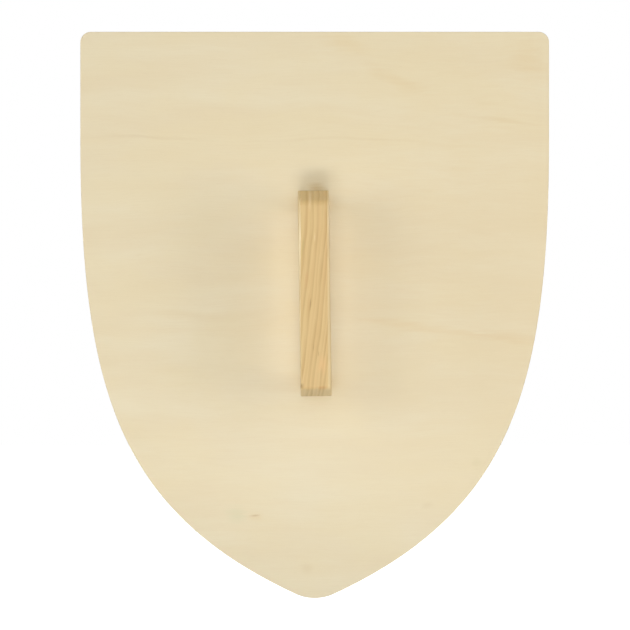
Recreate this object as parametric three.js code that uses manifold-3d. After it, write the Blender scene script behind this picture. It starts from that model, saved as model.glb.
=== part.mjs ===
// A blank wooden heater shield: a five-ply plywood board with a pine grip screwed on behind.
// Sizes are millimetres. +Z is up and +Y is the way the shield faces, so the hand comes from -Y.
// The origin is the middle of the grip bar, where the hand closes.
import * as THREE from 'three';
import { mergeVertices } from 'three/addons/utils/BufferGeometryUtils.js';
import Module from 'manifold-3d';

// Board outline, seen from behind: straight sides, one long curve a side, and a small round tip
const boardWidth = 314.5;
const boardHeight = 380;
const cornerRadius = 7;
const straightSide = 72;
const shoulderPull = 167;
const tipPull = 131;
const tipRadius = 31;
const tipSlopeDegrees = 24.8;

// Veneers of the board, from the hand's side to the front
const faceVeneer = 1.25;
const crossVeneer = 1.75;
const coreVeneer = 2;

// Grip: a planed bar on two blocks
const barLength = 133;
const barWidth = 20;
const barThickness = 24;
const arrisRadius = 2;
const bevelDegrees = 42;
const upperBevel = 10;
const upperBend = 9;
const lowerBevel = 7.5;
const lowerBend = 4;
const bendLimitShare = 0.95;
const postLength = 12;
const fingerGap = 26;

// Where the grip sits on the board
const gripRise = 14;
const gripLeanDegrees = 0.8;

// Countersunk wood screws, one through each block
const screwLength = 50;
const screwRadius = 2;
const screwPoint = 5;
const headRadius = 4;
const headCone = 2.2;
const headRim = 0.3;
const headSink = 0.3;
const recessArm = 2.3;
const recessSlot = 1;
const recessDepth = 1.6;

// Room round a screw in its hole, and how far a cut runs past the face that it opens
const screwClearance = 0.3;
const overrun = 5;

// How finely the round shapes are faceted
const flankSteps = 48;
const tipSteps = 8;
const cornerSteps = 8;
const arrisSteps = 4;
const bendSteps = 6;
const screwSides = 24;

// Heights and depths that the pieces share
const boardTop = boardHeight / 2 - gripRise;
const boardBack = barThickness / 2 + fingerGap;
const boardFront = boardBack + 2 * faceVeneer + 2 * crossVeneer + coreVeneer;
const barTop = barLength / 2;
const postCentre = barTop - postLength / 2;

// Colours and surfaces
const veneerWood = new THREE.MeshStandardMaterial({ color: 0xe6d6b4, roughness: 0.62, metalness: 0 });
const crossWood = new THREE.MeshStandardMaterial({ color: 0xd9c59c, roughness: 0.7, metalness: 0 });
const pineWood = new THREE.MeshStandardMaterial({ color: 0xddbd86, roughness: 0.55, metalness: 0 });
const screwSteel = new THREE.MeshStandardMaterial({ color: 0xb9bcc0, roughness: 0.35, metalness: 1 });

// Turns a flat outline, drawn across and up, so that its thickness runs from front to back
const uprightBasis = new THREE.Matrix4().makeBasis(
  new THREE.Vector3(1, 0, 0),
  new THREE.Vector3(0, 0, 1),
  new THREE.Vector3(0, -1, 0),
);

// Turns an outline that is drawn front to back and up, so that its thickness runs from side to side
const sidewaysBasis = new THREE.Matrix4().makeBasis(
  new THREE.Vector3(0, 1, 0),
  new THREE.Vector3(0, 0, 1),
  new THREE.Vector3(1, 0, 0),
);

const wasm = await Module();
wasm.setup();

// A closed geometry as a solid that can be joined and cut
function toSolid(geometry) {
  const bare = geometry.clone();
  bare.deleteAttribute('normal');
  bare.deleteAttribute('uv');
  const merged = mergeVertices(bare);
  return new wasm.Manifold(new wasm.Mesh({
    numProp: 3,
    vertProperties: merged.attributes.position.array,
    triVerts: new Uint32Array(merged.index.array),
  }));
}

// A solid back as a geometry with flat shading
function toGeometry(solid) {
  const cut = solid.getMesh();
  const indexed = new THREE.BufferGeometry();
  indexed.setAttribute('position', new THREE.BufferAttribute(cut.vertProperties, 3));
  indexed.setIndex(new THREE.BufferAttribute(cut.triVerts, 1));
  const geometry = indexed.toNonIndexed();
  geometry.computeVertexNormals();
  return geometry;
}

// The points of the board's outline, counter-clockwise from the tip, across and up.
// The left half is the right half mirrored.
function boardOutline() {
  const slope = THREE.MathUtils.degToRad(tipSlopeDegrees);
  const side = boardWidth / 2;
  const shoulder = boardTop - straightSide;
  const tipCentre = boardTop - boardHeight + tipRadius;
  const arcEnd = new THREE.Vector2(tipRadius * Math.sin(slope), tipCentre - tipRadius * Math.cos(slope));
  const tip = new THREE.EllipseCurve(0, tipCentre, tipRadius, tipRadius, -Math.PI / 2, slope - Math.PI / 2);
  const flank = new THREE.CubicBezierCurve(
    arcEnd,
    new THREE.Vector2(arcEnd.x + tipPull * Math.cos(slope), arcEnd.y + tipPull * Math.sin(slope)),
    new THREE.Vector2(side, shoulder - shoulderPull),
    new THREE.Vector2(side, shoulder),
  );
  const corner = new THREE.EllipseCurve(
    side - cornerRadius, boardTop - cornerRadius, cornerRadius, cornerRadius, 0, Math.PI / 2,
  );
  const right = [
    ...tip.getPoints(tipSteps),
    ...flank.getPoints(flankSteps).slice(1),
    ...corner.getPoints(cornerSteps),
  ];
  const left = right.slice(1).reverse().map((point) => new THREE.Vector2(-point.x, point.y));
  return [...right, ...left];
}

// A rectangle with round corners, centred, as a shape
function roundedRectangle(width, height, radius, steps) {
  const corners = [[1, 1, 0], [-1, 1, 1], [-1, -1, 2], [1, -1, 3]];
  const points = corners.flatMap(([signX, signY, quarter]) => new THREE.EllipseCurve(
    signX * (width / 2 - radius), signY * (height / 2 - radius), radius, radius,
    quarter * Math.PI / 2, (quarter + 1) * Math.PI / 2,
  ).getPoints(steps));
  return new THREE.Shape(points);
}

// A shape drawn across and up, made solid between two planes that face front and back.
// Its two planes take exactly the depths given, so that stacked pieces share one plane.
function slab(shape, near, far) {
  const geometry = new THREE.ExtrudeGeometry(shape, { depth: far - near, bevelEnabled: false });
  geometry.applyMatrix4(uprightBasis);
  const position = geometry.attributes.position;
  for (let index = 0; index < position.count; index += 1) {
    const onNearPlane = position.getY(index) < (near - far) / 2;
    position.setY(index, onNearPlane ? near : far);
  }
  return geometry;
}

// The hole that a screw passes through: its own form with room round it, on the screw's axis
function screwWell(height) {
  const shank = screwRadius + screwClearance;
  const head = headRadius + screwClearance;
  const mouth = boardFront - headSink;
  const profile = [
    new THREE.Vector2(0, mouth - screwLength - screwClearance),
    new THREE.Vector2(shank, mouth - screwLength - screwClearance),
    new THREE.Vector2(shank, mouth - headRim - headCone),
    new THREE.Vector2(head, mouth - headRim),
    new THREE.Vector2(head, boardFront + overrun),
    new THREE.Vector2(0, boardFront + overrun),
  ];
  const geometry = new THREE.LatheGeometry(profile, screwSides);
  geometry.translate(0, 0, height);
  return toSolid(geometry);
}

// The outline of a cross recess, seen from the front
function crossShape(arm, slot) {
  const half = slot / 2;
  const outline = [
    [half, half], [half, arm], [-half, arm], [-half, half], [-arm, half], [-arm, -half],
    [-half, -half], [-half, -arm], [half, -arm], [half, -half], [arm, -half], [arm, half],
  ];
  return new THREE.Shape(outline.map(([x, y]) => new THREE.Vector2(x, y)));
}

// One countersunk screw on its own axis, head towards the front, its top at depth zero
function screwGeometry() {
  const profile = [
    new THREE.Vector2(0, -screwLength),
    new THREE.Vector2(screwRadius, screwPoint - screwLength),
    new THREE.Vector2(screwRadius, -headRim - headCone),
    new THREE.Vector2(headRadius, -headRim),
    new THREE.Vector2(headRadius, 0),
    new THREE.Vector2(0, 0),
  ];
  const body = toSolid(new THREE.LatheGeometry(profile, screwSides));
  const recess = toSolid(slab(crossShape(recessArm, recessSlot), -recessDepth, overrun));
  return toGeometry(body.subtract(recess));
}

// The bevel that takes off the hand's corner of the bar's upper end, in side view, from the end inwards:
// a straight slope, then a bend that runs into the face that the hand closes on.
// The bend's radius stays small enough that a stretch of the slope is left.
function bevelPoints(length, bendRadius) {
  const angle = THREE.MathUtils.degToRad(bevelDegrees);
  const start = barTop - length;
  const radius = Math.min(bendRadius, bendLimitShare * length / Math.sin(angle));
  const bend = new THREE.EllipseCurve(
    radius - barThickness / 2, start, radius, radius, Math.PI - angle, Math.PI,
  );
  const bendPoints = bend.getPoints(bendSteps);
  const slopeRise = barTop - bendPoints[0].y;
  const slopeEnd = new THREE.Vector2(bendPoints[0].x + slopeRise * Math.tan(angle), barTop);
  return [slopeEnd, ...bendPoints];
}

// The bar: its side view, with a bevel at both ends, kept only inside its eased cross-section
function barGeometry(wells) {
  const halfDepth = barThickness / 2;
  const upper = bevelPoints(upperBevel, upperBend);
  const lower = bevelPoints(lowerBevel, lowerBend).reverse();
  const sideView = new THREE.Shape([
    new THREE.Vector2(halfDepth, -barTop),
    new THREE.Vector2(halfDepth, barTop),
    ...upper,
    ...lower.map((point) => new THREE.Vector2(point.x, -point.y)),
  ]);
  const side = new THREE.ExtrudeGeometry(sideView, { depth: barWidth, bevelEnabled: false });
  side.translate(0, 0, -barWidth / 2);
  side.applyMatrix4(sidewaysBasis);
  const section = roundedRectangle(barWidth, barThickness, arrisRadius, arrisSteps);
  const batten = new THREE.ExtrudeGeometry(section, { depth: barLength + 2 * overrun, bevelEnabled: false });
  batten.translate(0, 0, -barLength / 2 - overrun);
  let solid = toSolid(side).intersect(toSolid(batten));
  for (const well of wells) {
    solid = solid.subtract(well);
  }
  return toGeometry(solid);
}

// One block between the board and the bar, with its screw hole through it
function postGeometry(height, well) {
  const block = slab(
    roundedRectangle(barWidth, postLength, arrisRadius, arrisSteps), barThickness / 2, boardBack,
  );
  block.translate(0, 0, height);
  return toGeometry(toSolid(block).subtract(well));
}

// One veneer of the board, between two depths, with the screw holes through it
function plyGeometry(near, far, wells) {
  let solid = toSolid(slab(new THREE.Shape(boardOutline()), near, far));
  for (const well of wells) {
    solid = solid.subtract(well);
  }
  return toGeometry(solid);
}

function addMesh(parent, name, geometry, material) {
  const mesh = new THREE.Mesh(geometry, material);
  mesh.name = name;
  parent.add(mesh);
  return mesh;
}

const shield = new THREE.Group();
const board = new THREE.Group();
const grip = new THREE.Group();
shield.add(board, grip);

// The grip was set by eye: its lower end leans towards the right, seen from behind
grip.rotation.y = -THREE.MathUtils.degToRad(gripLeanDegrees);
grip.updateMatrix();

const ends = [
  { name: 'upper_grip', height: postCentre },
  { name: 'lower_grip', height: -postCentre },
];
const gripWells = ends.map((end) => screwWell(end.height));
const boardWells = gripWells.map((well) => toSolid(toGeometry(well).applyMatrix4(grip.matrix)));

const veneers = [
  { name: 'back_face_ply', thickness: faceVeneer, wood: veneerWood },
  { name: 'back_cross_ply', thickness: crossVeneer, wood: crossWood },
  { name: 'core_ply', thickness: coreVeneer, wood: veneerWood },
  { name: 'front_cross_ply', thickness: crossVeneer, wood: crossWood },
  { name: 'front_face_ply', thickness: faceVeneer, wood: veneerWood },
];
let near = boardBack;
for (const veneer of veneers) {
  const far = near + veneer.thickness;
  addMesh(board, veneer.name, plyGeometry(near, far, boardWells), veneer.wood);
  near = far;
}

addMesh(grip, 'grip_bar', barGeometry(gripWells), pineWood);
ends.forEach((end, index) => {
  addMesh(grip, `${end.name}_post`, postGeometry(end.height, gripWells[index]), pineWood);
  const screw = addMesh(grip, `${end.name}_screw`, screwGeometry(), screwSteel);
  screw.position.set(0, boardFront - headSink, end.height);
});

export default shield;
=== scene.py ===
# %% [markdown]
# A blank wooden heater shield, seen from behind, where the hand goes.
# The real object is a sheet of thin plywood cut to the heater outline, with a planed pine bar held off
# its back on two small blocks, and a long countersunk screw through each block from the front.
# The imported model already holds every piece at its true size. This lesson gives each of them a finished
# surface, worked out as arrays of points, and a wood or metal made of nodes.

import math

import bmesh
import bpy
import numpy as np
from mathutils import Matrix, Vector


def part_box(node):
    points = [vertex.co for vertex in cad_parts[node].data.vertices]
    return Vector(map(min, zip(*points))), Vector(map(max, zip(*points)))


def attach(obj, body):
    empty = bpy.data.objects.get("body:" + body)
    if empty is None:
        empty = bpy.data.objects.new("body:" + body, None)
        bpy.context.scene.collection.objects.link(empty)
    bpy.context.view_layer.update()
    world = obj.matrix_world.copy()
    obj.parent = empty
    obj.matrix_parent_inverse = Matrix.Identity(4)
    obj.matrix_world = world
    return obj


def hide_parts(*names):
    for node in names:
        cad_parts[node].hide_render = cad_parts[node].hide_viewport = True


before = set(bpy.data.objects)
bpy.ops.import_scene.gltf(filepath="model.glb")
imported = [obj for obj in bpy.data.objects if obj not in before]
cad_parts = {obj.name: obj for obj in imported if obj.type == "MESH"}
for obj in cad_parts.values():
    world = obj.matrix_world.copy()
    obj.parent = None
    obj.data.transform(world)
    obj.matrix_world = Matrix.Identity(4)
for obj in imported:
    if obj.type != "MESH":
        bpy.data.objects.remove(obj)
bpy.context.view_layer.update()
print("packed pieces:", sorted(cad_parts))

# %% [markdown]
# Sizes come first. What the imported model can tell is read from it: the depth of each veneer, the height
# and width of the board, and where the grip stands. The few values that give the outline its curve are
# written here, as a maker would mark them out.

# %% Sizes of the board
mm = 0.001

ply_names = ["back_face_ply", "back_cross_ply", "core_ply", "front_cross_ply", "front_face_ply"]
ply_depths = [(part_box(name)[0].y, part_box(name)[1].y) for name in ply_names]
board_low, board_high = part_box("core_ply")
board_back = ply_depths[0][0]
board_front = ply_depths[-1][1]
board_top = board_high.z
board_tip = board_low.z
board_side = board_high.x

corner_radius = 7 * mm
straight_side = 72 * mm
shoulder_pull = 167 * mm
tip_pull = 131 * mm
tip_radius = 31 * mm
tip_slope = math.radians(24.8)

print(f"board {2 * board_side / mm:.1f} x {(board_top - board_tip) / mm:.1f} mm,"
      f" {(board_front - board_back) / mm:.2f} mm thick")

# %% [markdown]
# Every piece here starts as a stack of closed rings, worked out as an array of points. One function joins
# neighbouring rings with four-sided faces. It closes the stack either by a pole at each end, as on the bar,
# or by joining its last ring to its first, as on a block with a hole through it. The others turn the faces
# outwards, cut one mesh out of another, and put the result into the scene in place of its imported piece.

# %% From rings to a mesh
def show(thing):
    """Links an object into the scene."""
    bpy.context.scene.collection.objects.link(thing)


def level_ring(x, depth, z):
    """Points (x, z) at one depth, as rows of x, y and z."""
    return np.stack([x, np.full(len(x), depth), z], axis=1)


def ring_mesh(name, rings, hollow=False):
    """A closed skin from rings, an array of rows x columns x 3. Point (r, c) has index r * columns + c.
    Each face joins (r, c), (r, c+1), (r+1, c+1), (r+1, c); columns wrap round. A hollow stack wraps its
    rows as well, and any other has its two end rings closed by triangles that meet in their mean point."""
    rows, columns, _ = rings.shape
    row, column = np.meshgrid(np.arange(rows if hollow else rows - 1), np.arange(columns), indexing="ij")
    next_row = (row + 1) % rows
    next_column = (column + 1) % columns
    corners = [(row, column), (row, next_column), (next_row, next_column), (next_row, column)]
    quads = np.stack([r * columns + c for r, c in corners], axis=-1).reshape(-1, 4)
    points = rings.reshape(-1, 3)
    faces = quads.tolist()
    if not hollow:
        first, last = len(points), len(points) + 1
        points = np.vstack([points, rings[0].mean(axis=0), rings[-1].mean(axis=0)])
        here = np.arange(columns)
        after = (here + 1) % columns
        top = (rows - 1) * columns
        faces += np.stack([here, after, np.full(columns, first)], axis=1).tolist()
        faces += np.stack([top + here, top + after, np.full(columns, last)], axis=1).tolist()
    mesh = bpy.data.meshes.new(name)
    mesh.from_pydata(points.tolist(), [], faces)
    return outward(mesh)


def outward(mesh):
    """Turns every face of a closed mesh outwards."""
    work = bmesh.new()
    work.from_mesh(mesh)
    bmesh.ops.recalc_face_normals(work, faces=work.faces)
    work.to_mesh(mesh)
    work.free()
    return mesh


def cut(mesh, cutter):
    """The mesh with the cutter's space taken out of it, as a new mesh."""
    solid = bpy.data.objects.new("solid", mesh)
    tool = bpy.data.objects.new("tool", cutter)
    show(solid)
    show(tool)
    modifier = solid.modifiers.new("cut", "BOOLEAN")
    modifier.operation = "DIFFERENCE"
    modifier.solver = "EXACT"
    modifier.object = tool
    result = bpy.data.meshes.new_from_object(solid.evaluated_get(bpy.context.evaluated_depsgraph_get()))
    bpy.data.objects.remove(solid)
    bpy.data.objects.remove(tool)
    return result


sharp_angle = math.radians(32)


def finish_piece(name, mesh, material, node):
    """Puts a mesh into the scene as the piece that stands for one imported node."""
    mesh.materials.clear()
    mesh.materials.append(material)
    mesh.shade_smooth()
    mesh.set_sharp_from_angle(angle=sharp_angle)
    piece = bpy.data.objects.new(name, mesh)
    show(piece)
    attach(piece, "root")
    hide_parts(node)
    print(f"{name}: {len(mesh.vertices)} points, {len(mesh.polygons)} faces")


# %% [markdown]
# The camera looks straight at the back of the board, as a picture taken from above a table does. Its
# distance is chosen. Its lens and its place are worked out from where the board's edges lie in the
# picture, so that the board fills the same share of it.

# %% Camera
picture_side_px = 630
board_left_px = 80.3
board_right_px = 549.1
board_top_px = 31.5
tip_px = 598.35
camera_distance = 1200 * mm
sensor_width_mm = 36

metres_per_px = 2 * board_side / (board_right_px - board_left_px)
picture_centre_px = picture_side_px / 2
view_x = (picture_centre_px - (board_left_px + board_right_px) / 2) * metres_per_px
view_z = (board_top + board_tip) / 2 + ((board_top_px + tip_px) / 2 - picture_centre_px) * metres_per_px

camera_data = bpy.data.cameras.new("camera")
camera_data.sensor_width = sensor_width_mm
camera_data.lens = sensor_width_mm * camera_distance / (picture_side_px * metres_per_px)
camera = bpy.data.objects.new("camera", camera_data)
camera.location = (view_x, board_back - camera_distance, view_z)
camera.rotation_euler = (math.pi / 2, 0, 0)
show(camera)
bpy.context.scene.camera = camera
print(f"lens {camera_data.lens:.1f} mm, {metres_per_px / mm:.4f} mm to a pixel at the board")

# %% [markdown]
# Colours are written as the hex values that a screen shows. Blender's shaders work with linear light, so
# one function turns the first into the second. Another adds a node with its settings and its links, and
# every material below is made with it. Patterns read the piece's own coordinates, scaled to millimetres,
# so that a grain line in the wood is as wide as its number says. A colour is then built up as a painter
# works, from a ground colour with thin layers of tint over it.

# %% Colours and nodes
def linear(code):
    """The linear colour of an sRGB hex code: v / 12.92 up to 0.04045, else ((v + 0.055) / 1.055) ^ 2.4."""
    value = np.array([int(code[place:place + 2], 16) for place in (1, 3, 5)]) / 255
    curved = ((value + 0.055) / 1.055) ** 2.4
    return (*np.where(value <= 0.04045, value / 12.92, curved).tolist(), 1.0)


def fill(tree, node, inputs):
    """Fills a node's inputs, given by name or number in a dictionary, or in their order in a list. A socket
    is linked, a node is linked by its first output, and anything else is set as a value."""
    for place, value in inputs.items() if isinstance(inputs, dict) else enumerate(inputs):
        if isinstance(value, bpy.types.Node):
            value = value.outputs[0]
        if isinstance(value, bpy.types.NodeSocket):
            tree.links.new(value, node.inputs[place])
        else:
            node.inputs[place].default_value = value


def add(tree, kind, inputs=(), **settings):
    """Adds a shader node with its settings, and fills its inputs."""
    node = tree.nodes.new("ShaderNode" + kind)
    for name, value in settings.items():
        setattr(node, name, value)
    fill(tree, node, inputs)
    return node


def emptied(owner):
    """Gives a material or a world an empty node tree."""
    owner.use_nodes = True
    owner.node_tree.nodes.clear()
    return owner.node_tree


def new_material(name):
    """A node material with only a Principled shader in it, already wired to the output."""
    material = bpy.data.materials.new(name)
    tree = emptied(material)
    shader = add(tree, "BsdfPrincipled")
    add(tree, "OutputMaterial", {"Surface": shader})
    return material, tree, shader


def millimetres(tree):
    """The piece's own coordinates in millimetres, and its own surface direction."""
    place = add(tree, "TexCoord")
    scaled = add(tree, "VectorMath", {0: place.outputs["Object"], "Scale": 1 / mm}, operation="SCALE")
    return scaled, place.outputs["Normal"]


def grain_field(tree, place, spacing, detail, roughness=0.5):
    """A field of uneven values whose grains are as far apart as spacing says, in millimetres along x, y
    and z: the coordinates are divided by the spacing and then looked up in noise."""
    stretched = add(tree, "Mapping", {"Vector": place, "Scale": [1 / size for size in spacing]})
    return add(tree, "TexNoise", {"Vector": stretched, "Scale": 1, "Detail": detail, "Roughness": roughness})


def painted(tree, ground, layers):
    """Lays tints over a ground colour, one after another. A layer is the share of its tint, as a node or a
    socket, and the tint itself, a hex code or another painted colour. Sockets 6 and 7 are the two colours
    of the node."""
    colour = linear(ground)
    for share, tint in layers:
        tint = linear(tint) if isinstance(tint, str) else tint
        colour = add(tree, "Mix", {0: share, 6: colour, 7: tint}, data_type="RGBA").outputs[2]
    return colour


# A Map Range node with this setting is a soft step. Its inputs are a value, the two values between which
# it climbs, and what it gives below and above them.
soft_step = {"interpolation_type": "SMOOTHSTEP"}


def finished(material, shader, colour, roughness, height, relief):
    """Wires a colour, a roughness and a fine relief into a material's shader. relief gives its depth and
    the share of it that is used."""
    tree = material.node_tree
    depth, share = relief
    bump = add(tree, "Bump", {"Strength": share, "Distance": depth, "Height": height})
    fill(tree, shader, {"Base Color": colour, "Roughness": roughness, "Normal": bump})
    print(f"{material.name}: {len(tree.nodes)} nodes")
    return material


# How deep a mark reaches, so that it runs right through, and how far its outline wanders
endless = 1e6
raggedness = 0.9


def lens(tree, place, ragged, centre, half_sizes, slope, strength):
    """The share of a soft lens-shaped mark: its strength at its centre and 0 from an ellipse of those half
    sizes outwards, with an outline that a ragged field makes uneven. It lies in the plane of x and z,
    turned by its slope, and runs through the whole thickness."""
    across = add(tree, "Mapping", {
        "Vector": place,
        "Location": (centre[0], 0, centre[1]),
        "Rotation": (0, -math.atan(slope), 0),
        "Scale": (half_sizes[0], endless, half_sizes[1]),
    }, vector_type="TEXTURE")
    reach = add(tree, "VectorMath", [across], operation="LENGTH").outputs["Value"]
    uneven = add(tree, "Math", [ragged, raggedness, reach], operation="MULTIPLY_ADD")
    return add(tree, "MapRange", [uneven, raggedness / 2, 1 + raggedness / 2, strength, 0], **soft_step)


print("colour check, mid grey:", [round(value, 3) for value in linear("#808080")])

# %% [markdown]
# The board is a five-ply sheet of a pale, even wood such as poplar or lime, sanded and left bare. A close
# look shows a very faint figure that runs across the shield, soft clouds of warmer tone, fine fibres with
# short pores among them, and a few darker streaks. A photograph of wood could be laid on instead, but
# noise stretched along the grain follows the piece round its edges and never repeats. The streaks are set
# one by one, because they are what makes a sheet of veneer look like one real sheet.
# At the edge the same wood is cut across its fibres. Their open ends take the light in, so it looks
# darker there. The surface direction tells how far it is cut across, so one material serves faces and
# edges alike. Real fibres and pores are too fine to show in a picture of the whole shield, so both are
# drawn a few times as coarse as they are.

# %% Bare veneer
veneer_light = "#EBDEBD"
veneer_dark = "#E8D8B4"
veneer_flush = "#EADAB2"
veneer_fibre = "#DAC8A0"
veneer_pore = "#C3A77B"
veneer_end = "#C9B187"
glue_line = "#9C8256"
glue_half_width_mm = 0.16
glue_planes_mm = [depth[1] / mm for depth in ply_depths[:-1]]
sway_mm = 3
along_other = {"X": "Z", "Z": "X"}

# How long and how wide the grains of each pattern are, in millimetres along the wood and across it
sway_grain = (95, 60)
figure_grain = (120, 17)
cloud_grain = (48, 22)
fibre_grain = (26, 0.55)
pore_grain = (5, 0.22)
ragged_grain = (17, 2.4)

# Between which values each pattern fades in, and how much of its colour it then gives
whole_range = (0.2, 0.8)
figure_range = (0.3, 0.7)
cloud_range = (0.35, 0.65)
fibre_range = (0.35, 0.75)
pore_range = (0.64, 0.76)
cut_across_range = (0.25, 0.95)
flush_share = 0.4
fibre_share = 0.13
pore_share = 0.15
end_share = 0.75
glue_share = 0.75
veneer_roughness = (0.58, 0.7)
veneer_relief = (0.05 * mm, 0.25)


def veneer_material(name, along, streaks=()):
    """Sanded poplar-like veneer. along is the grain's axis, 'X' or 'Z'. Each streak is its centre (x, z),
    its half length and half width in millimetres, its slope, its colour and its strength."""
    material, tree, shader = new_material(name)
    place, direction = millimetres(tree)

    def spacing(long, across):
        """How far apart grains are along x, y and z, when they are longer along the wood's fibres."""
        return [long if axis == along else across for axis in "XYZ"]

    sway = grain_field(tree, place, spacing(*sway_grain), detail=2)
    sway = add(tree, "MapRange", [sway, *whole_range, -sway_mm, sway_mm], **soft_step)
    sideways = add(tree, "CombineXYZ", {along_other[along]: sway})
    swayed = add(tree, "VectorMath", [sideways, place], operation="ADD")

    figure = grain_field(tree, swayed, spacing(*figure_grain), detail=4, roughness=0.55)
    cloud = grain_field(tree, place, spacing(*cloud_grain), detail=3)
    fibre = grain_field(tree, swayed, spacing(*fibre_grain), detail=3, roughness=0.65)
    pore = grain_field(tree, swayed, spacing(*pore_grain), detail=2)
    ragged = grain_field(tree, swayed, spacing(*ragged_grain), detail=3)
    layers = [
        (add(tree, "MapRange", [figure, *figure_range], **soft_step), veneer_dark),
        (add(tree, "MapRange", [cloud, *cloud_range, 0, flush_share], **soft_step), veneer_flush),
        (add(tree, "MapRange", [fibre, *fibre_range, 0, fibre_share], **soft_step), veneer_fibre),
        (add(tree, "MapRange", [pore, *pore_range, 0, pore_share], **soft_step), veneer_pore),
    ]
    for centre, half_sizes, slope, tint, strength in streaks:
        layers.append((lens(tree, swayed, ragged, centre, half_sizes, slope, strength), tint))

    grain_axis = (1, 0, 0) if along == "X" else (0, 0, 1)
    facing = add(tree, "VectorMath", [direction, grain_axis], operation="DOT_PRODUCT").outputs["Value"]
    facing = add(tree, "Math", [facing], operation="ABSOLUTE")
    cut_across = add(tree, "MapRange", [facing, *cut_across_range, 0, end_share], **soft_step)
    layers.append((cut_across, veneer_end))

    depth = add(tree, "SeparateXYZ", [place]).outputs["Y"]
    for plane in glue_planes_mm:
        off_plane = add(tree, "Math", [depth, plane], operation="SUBTRACT")
        off_plane = add(tree, "Math", [off_plane], operation="ABSOLUTE")
        glue = add(tree, "MapRange", [off_plane, 0, glue_half_width_mm, glue_share, 0], **soft_step)
        layers.append((glue, glue_line))

    colour = painted(tree, veneer_light, layers)
    roughness = add(tree, "MapRange", [fibre, *whole_range, *veneer_roughness], **soft_step)
    height = add(tree, "Math", [fibre, pore], operation="SUBTRACT")
    return finished(material, shader, colour, roughness, height, veneer_relief)


# Each streak: centre, half length and half width in millimetres, slope, colour and strength
back_streaks = [
    # broad, faint changes of tone
    ((165, 15), (190, 260), 0, "#E4CFA6", 0.35),
    ((40, 125), (150, 90), 0, "#E6D3A6", 0.12),
    ((0, -110), (170, 110), 0, "#EFE6CC", 0.15),
    # one fine line across the upper part
    ((-112, 104.6), (56, 1.9), -0.012, "#CDB280", 0.17),
    ((20, 102.5), (92, 1.4), -0.004, "#CDB280", 0.10),
    # honey-coloured flushes towards the upper right
    ((56, 143), (32, 7), -0.36, "#DCBB80", 0.16),
    ((126, 116), (36, 2.8), -0.13, "#D6B87F", 0.18),
    ((20, 167), (26, 8), -0.25, "#DFC084", 0.18),
    ((143, 157), (20, 15), -0.45, "#DCBC82", 0.18),
    # long streaks across the middle
    ((80, -25.0), (74, 5), -0.14, "#DEBE84", 0.2),
    ((128, -29.5), (36, 6), -0.10, "#D9B47C", 0.17),
    ((-81, -13), (54, 5.0), -0.05, "#D6BA84", 0.15),
    # a pin knot, with its flush and a greenish stain beside it
    ((-40, -148.3), (4.8, 1.2), 0.05, "#B08A50", 0.42),
    ((-40, -149.3), (9, 4.5), 0.05, "#DDBE88", 0.25),
    ((-52, -148), (10, 9), 0, "#CFD0A8", 0.25),
    # painted shadow: a soft dark spot on the board just above the grip, where its shade falls
    ((1.2, 66.5), (8.5, 9), 0, "#CDB37C", 0.78),
    # faint spots near the edge
    ((-5.2, -185.5), (6, 5.5), 0, "#CDB489", 0.16),
    ((108.8, -112.6), (6, 5.5), 0, "#C8BC88", 0.12),
    ((75.3, -141.4), (6, 3.0), 0.2, "#CDB489", 0.15),
]
front_streaks = [
    ((-60, 131), (85, 1.6), 0.02, "#C9AF86", 0.26),
    ((92, 62), (60, 2.6), 0.05, "#D0AD85", 0.30),
    ((-108, -18), (44, 2.2), -0.06, "#CDB085", 0.26),
    ((34, -96), (52, 1.7), 0.03, "#C9AE84", 0.24),
    ((8, -161), (5, 0.9), 0.02, "#927149", 0.45),
]
back_veneer = veneer_material("bare_poplar_veneer_back", "X", back_streaks)
front_veneer = veneer_material("bare_poplar_veneer_front", "X", front_streaks)
core_veneer = veneer_material("bare_poplar_veneer_core", "X")
cross_veneer = veneer_material("bare_poplar_veneer_cross", "Z")

# %% [markdown]
# The outline is the heart of a heater shield: straight sides at the top, one long curve down each flank
# and a small round tip. It could be traced point by point, but a few arcs and one cubic curve a side hold
# the whole shape, and they stay smooth however many points are taken.

# %% Outline of the board
arc_points = 18
flank_points = 130
side_points = 20
half_top_points = 40


def board_outline():
    """The outline as points (x, z), counter-clockwise from the tip, in metres.
    The right half is an arc round the tip, x = r sin a and z = c - r cos a, a cubic curve up the flank,
    (1-t)^3 A + 3 (1-t)^2 t B + 3 (1-t) t^2 C + t^3 D, the straight side, an arc round the corner and half
    of the top edge. The left half is its mirror image."""
    shoulder = board_top - straight_side
    tip_centre = board_tip + tip_radius
    angle = np.linspace(0, tip_slope, arc_points, endpoint=False)
    tip = np.stack([tip_radius * np.sin(angle), tip_centre - tip_radius * np.cos(angle)], axis=1)
    start = np.array([tip_radius * math.sin(tip_slope), tip_centre - tip_radius * math.cos(tip_slope)])
    heading = np.array([math.cos(tip_slope), math.sin(tip_slope)])
    end = np.array([board_side, shoulder])
    t = np.linspace(0, 1, flank_points, endpoint=False)[:, None]
    flank = ((1 - t) ** 3 * start + 3 * (1 - t) ** 2 * t * (start + tip_pull * heading)
             + 3 * (1 - t) * t ** 2 * (end - [0, shoulder_pull]) + t ** 3 * end)
    side_end = [board_side, board_top - corner_radius]
    side = np.linspace(end, side_end, side_points, endpoint=False)
    angle = np.linspace(0, math.pi / 2, arc_points, endpoint=False)
    corner = np.stack([
        board_side - corner_radius + corner_radius * np.cos(angle),
        board_top - corner_radius + corner_radius * np.sin(angle),
    ], axis=1)
    top = np.linspace([board_side - corner_radius, board_top], [0, board_top], half_top_points)
    right = np.concatenate([tip, flank, side, corner, top])
    left = right[1:-1][::-1] * [-1, 1]
    return np.concatenate([right, left])


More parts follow.
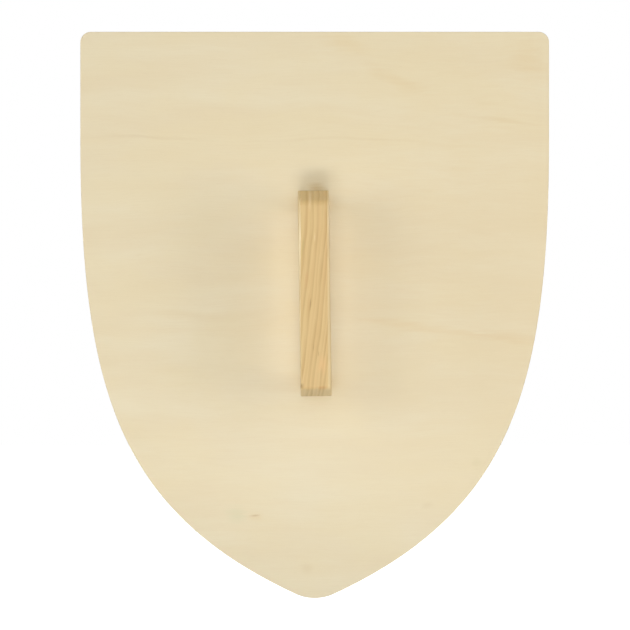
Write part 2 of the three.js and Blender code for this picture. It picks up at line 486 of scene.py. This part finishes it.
outline = board_outline()
run = np.roll(outline, -1, axis=0) - np.roll(outline, 1, axis=0)
run /= np.linalg.norm(run, axis=1, keepdims=True)
outline_normal = np.stack([run[:, 1], -run[:, 0]], axis=1)
around = np.linalg.norm(np.roll(outline, -1, axis=0) - outline, axis=1).sum()
print(f"outline: {len(outline)} points, {around / mm:.0f} mm round")

# %% [markdown]
# Each veneer is its own piece, as in the real sheet. Its section is carried round the outline: every
# point of the section says how far in from the outline it lies and at what depth. The two outer veneers
# get the soft arris that sanding leaves, and the inner ones a slightly crowned edge, so that the glue
# lines show as fine grooves from the side and not only as painted lines.

# %% The five veneers
arris = 0.45 * mm
crown = 0.07 * mm
arris_points = 6
crown_points = 5

# Each face has a ring a little way in from its edge, which keeps its shading flat up to the arris, and
# rings at these shares of its size
support = 0.7 * mm
face_shares = (0.9, 0.6, 0.3)


def section_rings(section):
    """Carries a section round the outline. A section point (inset, depth) gives the ring
    outline - inset * normal, at that depth."""
    flats = [(outline - inset * outline_normal, depth) for inset, depth in section]
    return [level_ring(flat[:, 0], depth, flat[:, 1]) for flat, depth in flats]


def shrunk(ring, share):
    """A ring drawn in towards its middle to a share of its size, in its own plane."""
    middle = ring.mean(axis=0)
    return middle + share * (ring - middle)


def soft_edge(depth, inward):
    """A quarter round between an outer face at that depth and the edge, as (inset, depth) points:
    inset = arris (1 - sin a), depth = face + arris (1 - cos a)."""
    angle = np.linspace(0, math.pi / 2, arris_points)
    inset = arris * (1 - np.sin(angle))
    return list(zip(inset, depth + inward * arris * (1 - np.cos(angle))))


def plain_edge(near, far):
    """The edge of an inner veneer, crowned by the depth of the grooves at its glue lines:
    inset = crown (2 t - 1)^2, depth = near + t (far - near)."""
    t = np.linspace(0, 1, crown_points)
    return list(zip(crown * (2 * t - 1) ** 2, near + t * (far - near)))


def ply_mesh(name, near, far, wells):
    """One veneer between two depths, with the screw holes cut through it."""
    section = plain_edge(near, far)
    if near == board_back:
        section = soft_edge(near, 1) + [(crown, far)]
    if far == board_front:
        section = [(crown, near)] + soft_edge(far, -1)[::-1]
    section = [(section[0][0] + support, near)] + section + [(section[-1][0] + support, far)]
    rings = section_rings(section)
    rings = ([shrunk(rings[0], share) for share in face_shares[::-1]] + rings
             + [shrunk(rings[-1], share) for share in face_shares])
    mesh = ring_mesh(name, np.array(rings))
    for well in wells:
        mesh = cut(mesh, well)
    return mesh


# %% [markdown]
# The grip was fixed by eye, so it leans a little. Everything that belongs to it is worked out upright and
# then turned by one function. The lean follows from how far apart the two screws are set across and up,
# and the depths and the blocks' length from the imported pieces. The bar's own length and width are written
# here, because a leaning bar fills a wider and taller box than its own.

# %% Sizes of the grip
bar_low, bar_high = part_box("grip_bar")
upper_screw = sum(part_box("upper_grip_screw"), Vector()) / 2
lower_screw = sum(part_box("lower_grip_screw"), Vector()) / 2
lean = math.atan2(lower_screw.x - upper_screw.x, upper_screw.z - lower_screw.z)
post_centre = Vector((upper_screw.x - lower_screw.x, 0, upper_screw.z - lower_screw.z)).length / 2

bar_length = 133 * mm
bar_width = 20 * mm
bar_depth = bar_high.y - bar_low.y
bar_top = bar_length / 2
post_length = 2 * (bar_top - post_centre)
screw_head_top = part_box("upper_grip_screw")[1].y
screw_length = screw_head_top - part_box("upper_grip_screw")[0].y

screw_radius = 2 * mm
head_radius = 4 * mm
head_cone = 2.2 * mm
head_rim = 0.3 * mm
screw_clearance = 0.3 * mm
overrun = 5 * mm


def leaned(points):
    """Turns upright points about the y axis by the lean: x' = x cos a - z sin a, z' = x sin a + z cos a."""
    turned = np.array(points, float)
    x, z = turned[..., 0].copy(), turned[..., 2].copy()
    turned[..., 0] = x * math.cos(lean) - z * math.sin(lean)
    turned[..., 2] = x * math.sin(lean) + z * math.cos(lean)
    return turned


print(f"grip: lean {math.degrees(lean):.2f} degrees, blocks {post_length / mm:.1f} mm,"
      f" bar {bar_depth / mm:.1f} mm deep, screws {screw_length / mm:.1f} mm")

# %% [markdown]
# A screw holds each end of the grip, so the veneers, the blocks and the bar all have a hole for it. Each
# hole is the screw's own form with a little room round it, made as on a lathe: a profile of radii and
# depths, carried round an axis. It is cut out of the veneers and the bar, while the blocks are modelled
# round their own holes.

# %% Screw holes
def turned_rings(profile, height, sides):
    """Rings round the screw's axis from a profile of (radius, depth) points."""
    angle = np.linspace(0, 2 * math.pi, sides, endpoint=False)
    rings = [level_ring(radius * np.cos(angle), depth, radius * np.sin(angle)) for radius, depth in profile]
    return np.array(rings) + [0, 0, height]


well_sides = 48


def well_mesh(height):
    """The space of one screw hole: the screw's own form with room round it."""
    shank = screw_radius + screw_clearance
    head = head_radius + screw_clearance
    bottom = screw_head_top - screw_length - screw_clearance
    profile = [
        (shank, bottom),
        (shank, screw_head_top - head_rim - head_cone),
        (head, screw_head_top - head_rim),
        (head, board_front + overrun),
    ]
    return ring_mesh("well", leaned(turned_rings(profile, height, well_sides)))


grip_ends = {"upper_grip": post_centre, "lower_grip": -post_centre}
ply_looks = [back_veneer, cross_veneer, core_veneer, cross_veneer, front_veneer]
for node, (near, far), material in zip(ply_names, ply_depths, ply_looks):
    mesh = ply_mesh(node, near, far, [well_mesh(height) for height in grip_ends.values()])
    finish_piece("sanded_" + node, mesh, material, node)

# %% [markdown]
# The grip is planed pine. Pine shows its years plainly: each growth line is a dark band of dense late wood
# that fades into the pale early wood of the same year and ends sharply against the next. In a bar cut at a
# slant to the fibres the lines run off towards one side. So the material first works out one number, how
# far a point lies across the growth lines, with the slant in it, and then a curve turns that number into
# light and dark. Because the number depends on depth as well, the lines run on round the bar's sides and
# ends, as they do in a real piece. A few pitch ducts and a small knot are set one by one. The eased edges
# are painted paler where the surface turns sideways, and a few pale strips along them are set one by one:
# both are painted highlights. Single fibres are too fine to show, so they too are drawn coarser than they
# are.

# %% Planed pine
pine_light = "#DBBD82"
pine_dark = "#BF985B"
pine_flush = "#D7B176"
pine_fibre = "#B89255"
# The next colour is a painted highlight, laid on the eased edges where they turn sideways
pine_edge_highlight = "#EFD9A8"
pine_end = "#D2BD91"
pine_end_dark = "#B9A277"
pine_duct = "#8A6A3C"
growth_lines_mm = [
    (-35, 0.6), (-31, 0.8), (-27.4, 0.6), (-23, 0.8), (-19.5, 0.7), (-15.4, 0.8), (-11, 0.7),
    (-5.7, 0.8), (-1.9, 0.7), (2.0, 0.8), (4.4, 0.3), (7.2, 0.95), (9.9, 1.0), (12.4, 0.4),
    (14.8, 0.85), (17.0, 0.8), (21.5, 0.75), (25.5, 0.8), (30, 0.7), (34, 0.8),
]
growth_reach_mm = 40
# How much of the painted edge highlight is laid on
edge_highlight_share = 0.6
late_wood_mm = 1.8
year_end_mm = 0.8
end_raggedness = 0.4

# How the late wood darkens: the share of its width that is left before the line, and the darkness there
late_rise = [(1, 0.12), (0.4, 0.55), (0, 1)]

# How far the growth lines sway, and how softly they turn where the slant begins
pine_sway_mm = 1.1
bend_blend_mm = 8.0

# How far apart the grains of each pattern are, in millimetres across, in depth and along the fibres
pine_sway_grain = (7, 9, 42)
pine_fading_grain = (4, 7, 22)
pine_fibre_grain = (0.45, 0.45, 30)
pine_flush_grain = (3.5, 6, 60)
pine_ragged_grain = (1.2, 3, 9)

# Between which values each pattern fades in, and how much it then gives
pine_fading_range = (0.35, 0.65)
pine_fading_least = 0.62
pine_flush_range = (0.35, 0.7)
pine_flush_share = 0.4
pine_fibre_range = (0.45, 0.75)
pine_fibre_share = 0.2
pine_end_range = (0.55, 1.05)
pine_end_share = 0.8
pine_roughness = (0.46, 0.62)
pine_relief = (0.06 * mm, 0.3)

# How far a surface faces sideways where the painted highlight of an eased edge begins, where it gives way
# to the side, and where the marks do
arris_turn_range = (0.1, 0.5)
side_turn_range = (0.85, 1)
mark_turn_range = (0.8, 0.97)


def growth_curve(node):
    """Fills a curve node: at each growth line the darkness climbs over the late wood's width to the line's
    own strength, and falls back to nothing over the short end of the year."""
    curve = node.mapping.curves[0]
    spots = [(-growth_reach_mm, 0.0)]
    for line, darkness in growth_lines_mm:
        spots += [(line - left * late_wood_mm, rise * darkness) for left, rise in late_rise]
        spots += [(line + year_end_mm, 0.0)]
    spots += [(growth_reach_mm, 0.0)]
    heights = [((spot + growth_reach_mm) / (2 * growth_reach_mm), darkness) for spot, darkness in spots]
    curve.points[0].location = heights[0]
    curve.points[1].location = heights[-1]
    for height in heights[1:-1]:
        curve.points.new(*height)
    for point in curve.points:
        point.handle_type = "VECTOR"
    node.mapping.update()


def pine_material(name, turn, shift, slant, bend_height_mm, heart, dive, marks=()):
    """Planed pine. turn and shift bring the grain to the z axis. The yearly rings are wide arcs, so across
    them a point counts x + slant * max(0, bend height - z) + (y - y0)^2 / 2 R, with a soft max, where heart
    is (y0, R). The fibres run along (-slant, dive, 1). Eased edges, where the surface turns sideways, get a
    painted highlight. Marks are pitch ducts, flushes, a knot and painted highlights along the edges, given
    like streaks, and stay off the side faces."""
    material, tree, shader = new_material(name)
    place, direction = millimetres(tree)
    brought = add(tree, "Mapping", {"Vector": place, "Rotation": turn, "Location": shift})
    parts = add(tree, "SeparateXYZ", [brought])
    x, y, z = (parts.outputs[axis] for axis in "XYZ")

    below = add(tree, "Math", [bend_height_mm, z], operation="SUBTRACT")
    below = add(tree, "Math", [below, 0, bend_blend_mm], operation="SMOOTH_MAX")
    across = add(tree, "Math", [below, slant, x], operation="MULTIPLY_ADD")
    heart_depth_mm, ring_radius_mm = heart
    off_heart = add(tree, "Math", [y, heart_depth_mm], operation="SUBTRACT")
    square = add(tree, "Math", [off_heart, off_heart], operation="MULTIPLY")
    across = add(tree, "Math", [square, 1 / (2 * ring_radius_mm), across], operation="MULTIPLY_ADD")
    sway = grain_field(tree, brought, pine_sway_grain, detail=2)
    sway = add(tree, "MapRange", [sway, 0, 1, -pine_sway_mm, pine_sway_mm], **soft_step)
    across = add(tree, "Math", [across, sway], operation="ADD")

    scaled = add(tree, "MapRange", [across, -growth_reach_mm, growth_reach_mm])
    growth = add(tree, "FloatCurve", {"Value": scaled})
    growth_curve(growth)
    fading = grain_field(tree, brought, pine_fading_grain, detail=2)
    fading = add(tree, "MapRange", [fading, *pine_fading_range, pine_fading_least, 1], **soft_step)
    darkness = add(tree, "Math", [growth, fading], operation="MULTIPLY")
    grain = add(tree, "CombineXYZ", [across, y, z])
    fibre = grain_field(tree, grain, pine_fibre_grain, detail=3, roughness=0.6)
    flush = grain_field(tree, grain, pine_flush_grain, detail=2)
    ragged = grain_field(tree, grain, pine_ragged_grain, detail=3)

    turned = add(tree, "Mapping", {"Vector": direction, "Rotation": turn}, vector_type="VECTOR")
    sideways = add(tree, "SeparateXYZ", [turned]).outputs["X"]
    sideways = add(tree, "Math", [sideways], operation="ABSOLUTE")
    # Where the surface turns sideways on an eased edge, a paler tint is laid on as a painted highlight
    eased = add(tree, "MapRange", [sideways, *arris_turn_range], **soft_step)
    off_side = add(tree, "MapRange", [sideways, *side_turn_range, edge_highlight_share, 0], **soft_step)
    layers = [
        (darkness, pine_dark),
        (add(tree, "MapRange", [flush, *pine_flush_range, 0, pine_flush_share], **soft_step), pine_flush),
        (add(tree, "MapRange", [fibre, *pine_fibre_range, 0, pine_fibre_share], **soft_step), pine_fibre),
        (add(tree, "Math", [eased, off_side], operation="MULTIPLY"), pine_edge_highlight),
    ]
    off_side = add(tree, "MapRange", [sideways, *mark_turn_range, 1, 0], **soft_step)
    for centre, half_sizes, slope, tint, strength in marks:
        mark = lens(tree, brought, ragged, centre, half_sizes, slope, strength)
        layers.append((add(tree, "Math", [mark, off_side], operation="MULTIPLY"), tint))

    fibre_run = Vector((-slant, dive, 1)).normalized()
    end = add(tree, "VectorMath", [turned, fibre_run], operation="DOT_PRODUCT").outputs["Value"]
    end = add(tree, "Math", [end], operation="ABSOLUTE")
    end = add(tree, "Math", [ragged, end_raggedness, end], operation="MULTIPLY_ADD")
    end = add(tree, "MapRange", [end, *pine_end_range, 0, pine_end_share], **soft_step)
    layers.append((end, painted(tree, pine_end, [(darkness, pine_end_dark)])))

    colour = painted(tree, pine_light, layers)
    roughness = add(tree, "MapRange", [fibre, *whole_range, *pine_roughness], **soft_step)
    return finished(material, shader, colour, roughness, fibre, pine_relief)


bar_marks = [
    # pale and tinted flushes
    ((-3.9, 61), (1.4, 10), 0, "#EAD2A2", 0.6),
    ((-0.4, 35.8), (0.4, 4.0), 0, "#F2DCAC", 0.6),
    ((-7.9, 30), (1.2, 10), -0.08, "#C6AD70", 0.6),
    ((-5.3, 8), (1.7, 9), -0.08, "#D2A46A", 0.5),
    # pitch ducts
    ((-2.7, -7), (0.45, 5.6), -0.05, pine_duct, 0.65),
    ((-0.3, -35), (0.5, 3.4), 0, "#AF894F", 0.6),
    ((3.0, -39), (0.5, 2.8), 0, "#AF894F", 0.55),
    ((4.8, -50), (0.65, 8), -0.05, "#B58F56", 0.6),
    # a warm flush and a small knot near the foot
    ((5.5, -46), (4.2, 9), 0, "#E6B97C", 0.5),
    ((-8.1, -59.9), (2.6, 2.6), 0, "#96703A", 0.65),
    # painted highlights: pale strips along the eased edges
    ((9.7, 50), (2.4, 22), 0, "#FFF2D0", 1.0),
    ((-9.7, -55), (1.4, 7), 0, "#FFF0C8", 0.95),
    ((-10.2, 27), (1.4, 38), 0, "#FFEEC6", 0.7),
    ((-10.1, -20), (1.5, 30), 0, "#FFEEC6", 0.7),
    # another warm flush at the foot
    ((6.0, -61), (3.4, 2.0), 0, "#BE8850", 0.5),
]
hand_face_mm = bar_low.y / mm
bar_pine = pine_material(
    "planed_pine_bar", turn=(0, -lean, 0), shift=(0, 0, 0), slant=0.1, bend_height_mm=40,
    heart=(hand_face_mm, 40), dive=0.15, marks=bar_marks,
)
post_pine = pine_material(
    "planed_pine_blocks", turn=(math.pi / 2, 0, 0), shift=(6, 0, 0), slant=0.05, bend_height_mm=60,
    heart=(0, 200), dive=0,
)

# %% [markdown]
# The bar is a batten with eased long edges, bevelled at both ends on the hand's side so that no corner
# digs into the palm. It is one section carried along the bar. Where the bevel takes wood away, the section
# grows shallower from the hand's side, so its eased edges run on down the bevel, where they catch the light
# as thin pale lines. The right-hand edge was eased more towards its lower end, as hand work comes out.

# %% The bar
upper_bevel = 11 * mm
upper_bend = 8 * mm
upper_angle = math.radians(38)
lower_bevel = 7.5 * mm
lower_bend = 5.5 * mm
lower_angle = math.radians(42)
end_ease = 0.35 * mm
arris_steps = 9
flat_steps = 4
ring_step = 0.3 * mm
middle_rings = 24
ease_rings = 5

# The radius of each long edge at the bar's top and at its foot: the right and left ones next to the
# board, then the left and right ones on the hand's side
long_edges = [
    (1.2 * mm, 1.2 * mm),
    (1.2 * mm, 1.2 * mm),
    (1.7 * mm, 0.9 * mm),
    (1.5 * mm, 3.2 * mm),
]


def bevel_depth(height):
    """How far back the bevel holds the hand's side, for heights along the bar. Past its start the wood is
    taken off by a bend, R - sqrt(R^2 - s^2), and then by a straight slope, tan(angle) for each step on."""
    length = np.where(height > 0, upper_bevel, lower_bevel)
    bend = np.where(height > 0, upper_bend, lower_bend)
    angle = np.where(height > 0, upper_angle, lower_angle)
    past = np.clip(np.abs(height) - (bar_top - length), 0, None)
    bend_end = bend * np.sin(angle)
    on_bend = np.minimum(past, bend_end)
    off = bend - np.sqrt(bend ** 2 - on_bend ** 2)
    off += np.clip(past - bend_end, 0, None) * np.tan(angle)
    return -bar_depth / 2 + off


def eased_section(half_width, half_depth, radii):
    """A rectangle with four quarter rounds, as arrays x and y of rows x columns. Corner k lies at the signs
    of (cos, sin) in its quarter: x = sx (w - r) + r cos a, y = sy (d - r) + r sin a. Flat runs get a few
    points as well, closer together towards the rounds."""
    x_parts, y_parts = [], []
    for quarter, (sign_x, sign_y) in enumerate([(1, 1), (-1, 1), (-1, -1), (1, -1)]):
        radius = radii[quarter][:, None]
        angle = np.linspace(quarter, quarter + 1, arris_steps)[None, :] * math.pi / 2
        x_parts.append(sign_x * (half_width - radius) + radius * np.cos(angle))
        y_parts.append(sign_y * (half_depth - radius) + radius * np.sin(angle))
    x_runs, y_runs = [], []
    for quarter in range(4):
        after = (quarter + 1) % 4
        t = (1 - np.cos(np.linspace(0, math.pi, flat_steps + 2)[None, 1:-1])) / 2
        x_runs += [x_parts[quarter], x_parts[quarter][:, -1:] * (1 - t) + x_parts[after][:, :1] * t]
        y_runs += [y_parts[quarter], y_parts[quarter][:, -1:] * (1 - t) + y_parts[after][:, :1] * t]
    return np.hstack(x_runs), np.hstack(y_runs)


def bar_mesh():
    """The bar as rings along its height. Its two ends are eased by a quarter round of radius r, which draws
    a ring at distance s from the end in by r (1 - sqrt(1 - (1 - s / r)^2))."""
    low = np.arange(-bar_top, -bar_top + lower_bevel + ring_step, ring_step)
    high = np.arange(bar_top - upper_bevel - ring_step, bar_top, ring_step)
    middle = np.linspace(low[-1], high[0], middle_rings)[1:-1]
    ease = end_ease * (1 - np.cos(np.linspace(0, math.pi / 2, ease_rings)))
    heights = np.concatenate([-bar_top + ease, low[low > -bar_top + end_ease], middle,
                              high[high < bar_top - end_ease], bar_top - ease[::-1]])
    share = (bar_top - heights) / bar_length
    radii = [top + (foot - top) * share for top, foot in long_edges]
    near = bevel_depth(heights)[:, None]
    half_depth = (bar_depth / 2 - near) / 2
    x, y = eased_section(bar_width / 2, half_depth, radii)
    from_end = np.clip(1 - (bar_top - np.abs(heights)) / end_ease, 0, 1)
    inset = end_ease * (1 - np.sqrt(1 - from_end ** 2))[:, None]
    x *= 1 - inset / (bar_width / 2)
    y *= 1 - inset / half_depth
    y += near + half_depth
    z = np.broadcast_to(heights[:, None], x.shape)
    mesh = ring_mesh("grip_bar", leaned(np.stack([x, y, z], axis=-1)))
    for height in grip_ends.values():
        mesh = cut(mesh, well_mesh(height))
    return mesh


finish_piece("planed_grip_bar", bar_mesh(), bar_pine, "grip_bar")

# %% [markdown]
# Each block is a short piece of the same pine, with its grain running from the bar to the board, and a
# hole through it for the screw. It has no end to close: its outside and its hole are one skin that turns
# in on itself.

# %% The blocks
block_arris = 1.6 * mm
block_edge = 0.25 * mm


def post_mesh(height):
    """A block between the bar and the board: the outer section at a few depths, then the hole's circle at
    the same depths on the way back."""
    near, far = bar_depth / 2, board_back
    insets = [block_edge, 0, 0, 0, block_edge]
    depths = [near, near + block_edge, (near + far) / 2, far - block_edge, far]
    radius = np.full(1, block_arris)
    rings = []
    for inset, depth in zip(insets, depths):
        x, z = eased_section(bar_width / 2 - inset, post_length / 2 - inset, [radius] * 4)
        rings.append(level_ring(x[0], depth, z[0]))
    angle = np.arctan2(rings[0][:, 2], rings[0][:, 0])
    hole = screw_radius + screw_clearance
    rings += [level_ring(hole * np.cos(angle), depth, hole * np.sin(angle)) for depth in (far, near)]
    return ring_mesh("post", leaned(np.array(rings) + [0, 0, height]), hollow=True)


for end_name, height in grip_ends.items():
    finish_piece(f"planed_{end_name}_post", post_mesh(height), post_pine, f"{end_name}_post")

# %% [markdown]
# The screws are common steel wood screws with a bright zinc coat. Only their heads show, sunk just under
# the front, but each is made whole. A thread could be wound from a small section, but here it is a ridge
# that climbs round the shank: how high the skin stands depends on depth and angle together, which winds
# the ridge into a helix by itself.

# %% Screws
thread_pitch = 1.8 * mm
thread_depth = 0.55 * mm
thread_length = 32 * mm
screw_point = 6 * mm
recess_arm = 2.3 * mm
recess_slot = 1.0 * mm
recess_depth = 1.6 * mm
recess_flare_share = 1.15
recess_taper_share = 0.45
head_ease = 0.1 * mm
head_land = 0.3 * mm
rim_ease = 0.05 * mm
shank_relief = 0.15 * mm
blunt_share = 0.03
screw_columns = 40
point_rings = 30
thread_rings = 150
shank_rings = 8

zinc_pale = "#A3A6AA"
zinc_dark = "#85898D"
zinc_mottle_grain = (1.2, 1.2, 1.2)
zinc_scratch_grain = (0.15, 0.15, 3)
zinc_mottle_range = (0.35, 0.7)
zinc_gloss_range = (0.3, 0.7)
zinc_roughness = (0.34, 0.46)
zinc_relief = (0.02 * mm, 0.2)


def zinc_material():
    """Bright zinc-plated steel: pale, a little blue and softly mottled, with a shine that fine scratches
    break up. Real scratches are too fine to show, so they are drawn coarser."""
    material, tree, shader = new_material("bright_zinc_plated_steel")
    place, _ = millimetres(tree)
    mottle = grain_field(tree, place, zinc_mottle_grain, detail=3)
    scratch = grain_field(tree, place, zinc_scratch_grain, detail=2)
    cloudy = add(tree, "MapRange", [mottle, *zinc_mottle_range], **soft_step)
    colour = painted(tree, zinc_pale, [(cloudy, zinc_dark)])
    roughness = add(tree, "MapRange", [mottle, *zinc_gloss_range, *zinc_roughness], **soft_step)
    shader.inputs["Metallic"].default_value = 1.0
    return finished(material, shader, colour, roughness, scratch, zinc_relief)


def cross_cutter(height):
    """The cross recess: a cross outline at the head's top that tapers to a smaller one at its bottom."""
    half, arm = recess_slot / 2, recess_arm
    cross = np.array([
        (half, half), (half, arm), (-half, arm), (-half, half), (-arm, half), (-arm, -half),
        (-half, -half), (-half, -arm), (half, -arm), (half, -half), (arm, -half), (arm, half),
    ])
    rings = []
    for share, depth in ((recess_flare_share, overrun), (1, 0), (recess_taper_share, -recess_depth)):
        rings.append(level_ring(share * cross[:, 0], screw_head_top + depth, share * cross[:, 1]))
    return ring_mesh("cross", leaned(np.array(rings) + [0, 0, height]))


def screw_mesh(height):
    """One screw on its own axis. Depth d runs from the point to the head. The thread's ridge adds
    h * max(0, 1 - 3 |frac(d / pitch - angle / 2 pi) - 1/2|) to the core's radius."""
    d = np.concatenate([
        np.linspace(0, screw_point, point_rings, endpoint=False),
        np.linspace(screw_point, thread_length, thread_rings, endpoint=False),
        np.linspace(thread_length, screw_length - head_cone - head_rim, shank_rings),
    ])
    angle = np.linspace(0, 2 * math.pi, screw_columns, endpoint=False)
    tapered = np.clip(d / screw_point, blunt_share, 1)
    core = (screw_radius - thread_depth) * tapered
    shank = np.clip((d - thread_length) / (2 * thread_pitch), 0, 1)
    core = core + (screw_radius - shank_relief - core) * shank
    turn = d[:, None] / thread_pitch - angle[None, :] / (2 * math.pi)
    ridge = np.clip(1 - 3 * np.abs(turn % 1 - 0.5), 0, None)
    room = tapered * (1 - shank)
    radius = core[:, None] + thread_depth * ridge * room[:, None]
    depth = np.broadcast_to(d[:, None], radius.shape)
    body = np.stack([radius * np.cos(angle), depth, radius * np.sin(angle)], axis=-1)
    body[..., 1] += screw_head_top - screw_length
    head = turned_rings([
        (head_radius - head_ease, screw_head_top - head_rim - head_ease),
        (head_radius, screw_head_top - head_rim + rim_ease),
        (head_radius, screw_head_top - head_ease),
        (head_radius - head_ease, screw_head_top),
        (head_radius - head_land, screw_head_top),
    ], 0, screw_columns)
    rings = np.concatenate([body, head]) + [0, 0, height]
    return cut(ring_mesh("screw", leaned(rings)), cross_cutter(height))


zinc = zinc_material()
for end_name, height in grip_ends.items():
    finish_piece(f"zinc_{end_name}_screw", screw_mesh(height), zinc, f"{end_name}_screw")

# %% [markdown]
# The shield hangs free over a white ground, some way under its tip, so that the ground keeps a soft
# shadow in views from above and stays plain white straight on. The ground and the world are white only
# for rays that come from the camera, a mirror or glass. For all other light they are dim, so that white
# around the shield never burns out the pale wood.

# %% Ground and world
ground_drop = 115 * mm
ground_front = -0.6
ground_back = 3.0
ground_half_width = 2.5
ambient = 0.13
ground_bounce = 0.55
glow_least = 0.36
glow_near = 0.4
glow_far = 1.7


def white_rays(tree):
    """1 for rays from the camera, a gloss or glass, and 0 for all others."""
    path = add(tree, "LightPath").outputs
    some = add(tree, "Math", [path["Is Camera Ray"], path["Is Glossy Ray"]], operation="MAXIMUM")
    return add(tree, "Math", [some, path["Is Transmission Ray"]], operation="MAXIMUM")


def ground_material():
    """Matt white board that also glows for the camera, so that it reads as white and keeps a shadow. Far
    from the shield, where the lamps no longer reach, the glow alone makes it white. To all other rays it
    is a mid grey, so that little light comes back up to the shield's tip."""
    material = bpy.data.materials.new("white_ground")
    tree = emptied(material)
    place = add(tree, "TexCoord").outputs["Object"]
    distance = add(tree, "VectorMath", [place], operation="LENGTH").outputs["Value"]
    glow_share = add(tree, "MapRange", [distance, glow_near, glow_far, glow_least, 1], **soft_step)
    seen = white_rays(tree)
    strength = add(tree, "Math", [seen, glow_share], operation="MULTIPLY")
    glow = add(tree, "Emission", {"Strength": strength})
    grey = add(tree, "MapRange", {"Value": seen, "To Min": ground_bounce, "To Max": 1})
    matt = add(tree, "BsdfDiffuse", {"Color": grey})
    both = add(tree, "AddShader", [glow, matt])
    add(tree, "OutputMaterial", {"Surface": both})
    return material


ground_level = board_tip - ground_drop
ground_mesh = bpy.data.meshes.new("ground")
ground_mesh.from_pydata([
    (-ground_half_width, ground_front, ground_level), (ground_half_width, ground_front, ground_level),
    (ground_half_width, ground_back, ground_level), (-ground_half_width, ground_back, ground_level),
], [], [(0, 1, 2, 3)])
ground_mesh.materials.append(ground_material())
ground = bpy.data.objects.new("ground", ground_mesh)
show(ground)

world = bpy.data.worlds.new("studio")
bpy.context.scene.world = world
tree = emptied(world)
light = add(tree, "MapRange", {"Value": white_rays(tree), "To Min": ambient, "To Max": 1})
backdrop = add(tree, "Background", {"Color": (1, 1, 1, 1), "Strength": light})
add(tree, "OutputWorld", {"Surface": backdrop})
print(f"ground at z = {ground_level:.3f} m")

# %% [markdown]
# The light follows the shadows of the picture. On the hand's side the strongest lamp stands low in front
# and throws the dark spot above the grip, and soft boxes at both sides throw the two pale shadows beside
# it. A tall narrow lamp at the camera lightens the board right up to the bar. Each lamp is set by its
# direction seen from the board, and by the share of the board's light that it gives, from which its power
# follows. All shares on one side add up to about 1, so colours render about as written.

# %% Lamps
board_centre = Vector((0, board_back, (board_top + board_tip) / 2))


def soft_box(name, faces, round_degrees, off_degrees, distance, size, share):
    """A lamp seen from the board at off_degrees from straight ahead, towards round_degrees counted from
    the right. Its power is share * pi^2 * distance^2 / cos(off), which gives the board that share."""
    off, turn = math.radians(off_degrees), math.radians(round_degrees)
    aim = Vector((math.sin(off) * math.cos(turn), faces * math.cos(off), math.sin(off) * math.sin(turn)))
    data = bpy.data.lights.new(name, "AREA")
    data.shape = "RECTANGLE"
    data.size, data.size_y = size
    data.energy = share * math.pi ** 2 * distance ** 2 / math.cos(off)
    lamp = bpy.data.objects.new(name, data)
    lamp.location = board_centre + distance * aim
    lamp.rotation_mode = "QUATERNION"
    lamp.rotation_quaternion = aim.to_track_quat("Z", "Y")
    lamp.visible_camera = False
    show(lamp)
    return share


hand_side, front_side = -1, 1

# Name, side, direction in degrees round and off the axis, distance and size in metres, share of the light
lamps = [
    ("low_in_front", hand_side, 262, 16.9, 1.25, (0.42, 0.22), 0.262),
    ("above_camera", hand_side, 92, 20, 1.3, (0.6, 0.4), 0.082),
    ("at_camera", hand_side, 90, 1, 1.6, (0.06, 0.6), 0.128),
    ("left_box", hand_side, 172, 46, 2.1, (0.65, 1.3), 0.12),
    ("left_edge_box", hand_side, 176, 70, 2.1, (0.5, 2.0), 0.06),
    ("right_upper_box", hand_side, 34, 50, 1.5, (0.47, 0.56), 0.045),
    ("right_box", hand_side, -6, 60, 1.5, (0.4, 1.15), 0.155),
    ("right_edge_box", hand_side, -24, 74, 1.5, (0.35, 1.25), 0.05),
    ("front_key", front_side, 60, 35, 1.6, (1.0, 1.0), 0.42),
    ("front_fill_left", front_side, 175, 50, 1.5, (0.9, 0.9), 0.22),
    ("front_fill_right", front_side, -10, 45, 1.5, (0.9, 0.9), 0.24),
]
for faces in (hand_side, front_side):
    total = ambient + sum(soft_box(*lamp) for lamp in lamps if lamp[1] == faces)
    print("light on the hand's side" if faces == hand_side else "light on the front", round(total, 3))

bpy.context.scene.view_settings.view_transform = "Standard"
